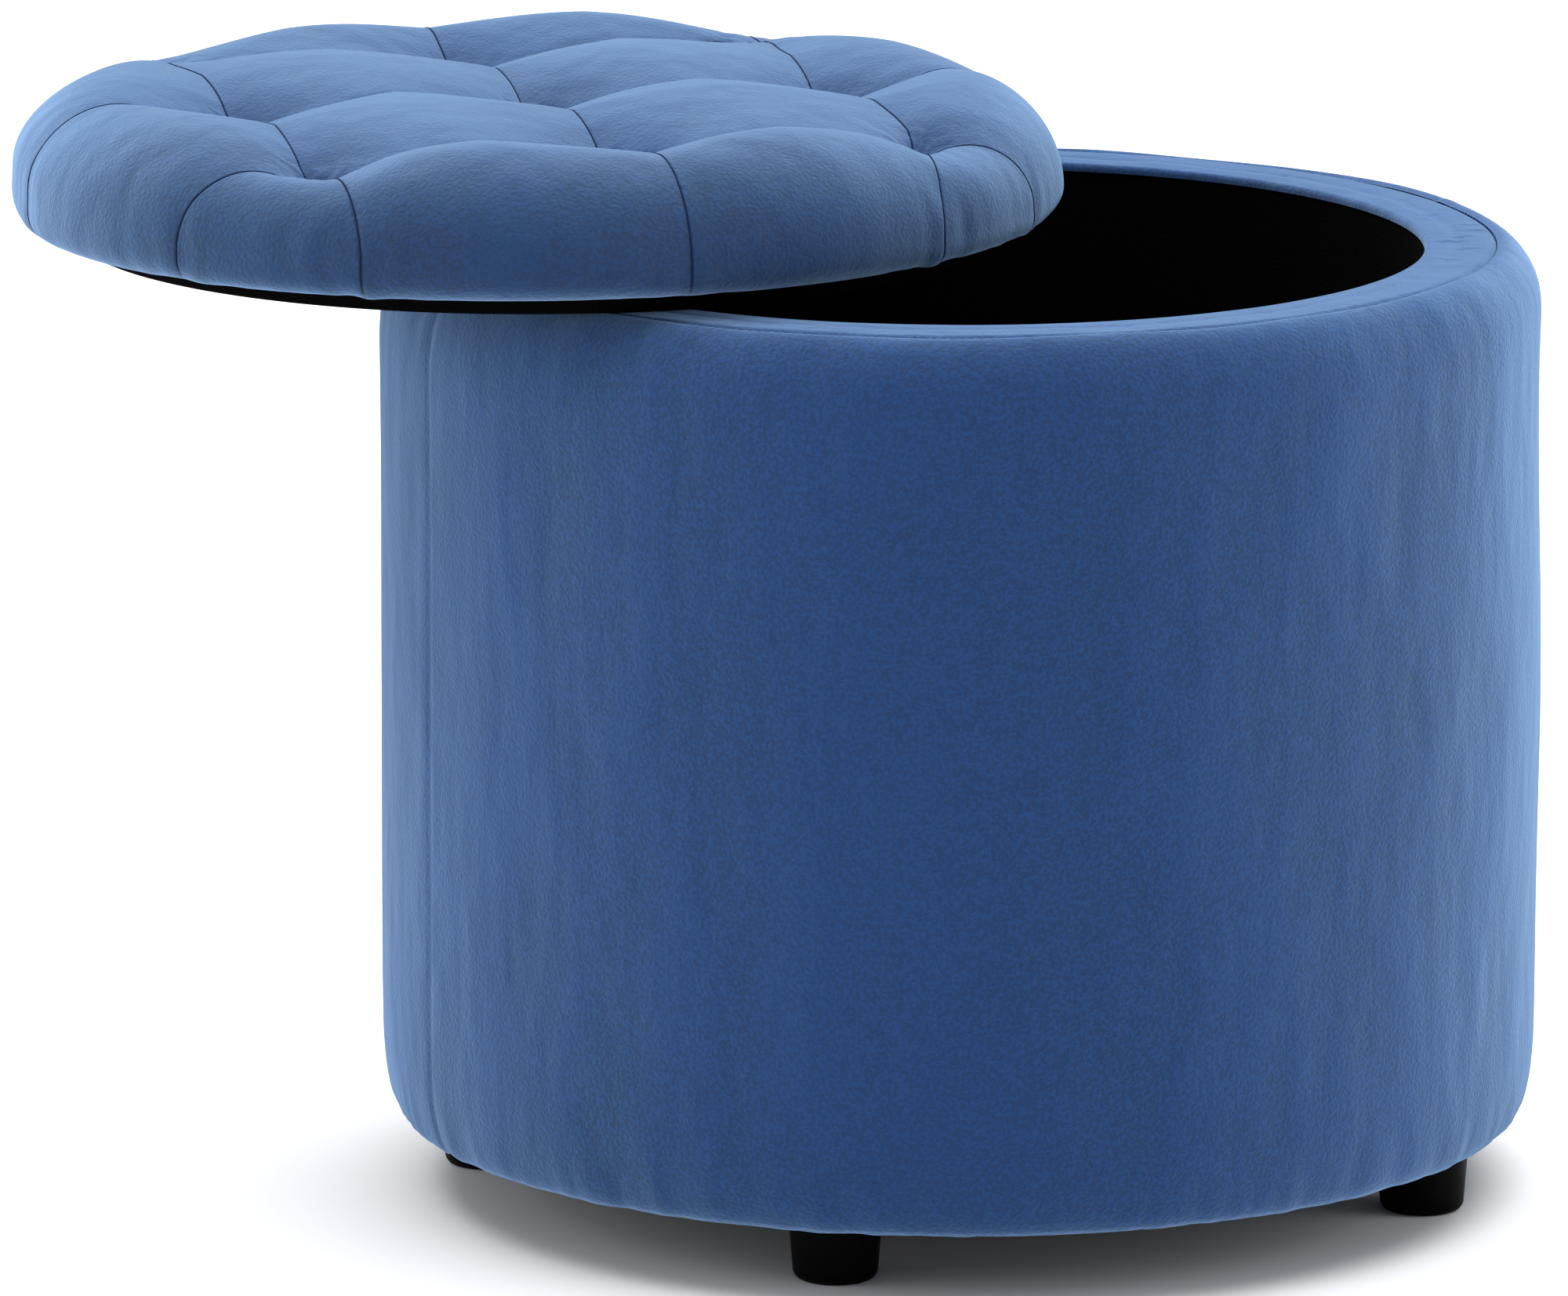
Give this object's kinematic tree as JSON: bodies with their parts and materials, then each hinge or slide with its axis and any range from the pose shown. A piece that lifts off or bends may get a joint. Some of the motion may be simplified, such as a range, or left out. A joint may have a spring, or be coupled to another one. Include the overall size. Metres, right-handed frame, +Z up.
{
  "type": "storage ottoman",
  "caption": "Round upholstered storage ottoman: a velvet drum on plastic feet with a black lined hollow and a loose tufted lid resting across its rim.",
  "frame": {"origin": "on the floor, at the middle of the whole footprint with the lid shifted aside as it is stored; the drum's own axis stands 73.5 mm along +X from it", "axes": "+Z is up along the drum's axis; the lid is shifted along -X; -Y faces the side with the front foot"},
  "size_m": [0.607, 0.46, 0.4458],
  "materials": {
    "board": "matte",
    "pine": "matte",
    "plywood": "matte",
    "foam": "matte",
    "velvet": "matte",
    "lining": "matte",
    "card": "matte",
    "twine": "matte",
    "steel": "satin",
    "black_plastic": "satin"
  },
  "bodies": {
    "base": {"bottom_board": "board", "base_hoop": "board", "top_hoop": "board", "battens": "pine", "batten_screws": "steel", "barrel_skin": "plywood", "side_foam": "foam", "rim_foam": "foam", "side_cover": "velvet", "rim_cover": "velvet", "base_staples": "steel", "liner_card": "card", "inner_lining": "lining", "floor_lining": "lining", "liner_staples": "steel", "dust_cover": "lining", "foot_front": "black_plastic", "foot_right": "black_plastic", "foot_back": "black_plastic", "foot_left": "black_plastic", "foot_bolts": "steel", "foot_nuts": "steel"},
    "lid": {"lid_board": "plywood", "lid_foam": "foam", "lid_cover": "velvet", "lid_staples": "steel", "tuft_twines": "twine", "tuft_washers": "steel", "lid_plug": "board", "plug_cover": "lining", "plug_screws": "steel"}
  },
  "joints": [
    {"name": "lid_lift", "type": "slide", "parent": "base", "child": "lid", "axis": [0, 0, 1], "range_m": [0, 0.25]}
  ]
}
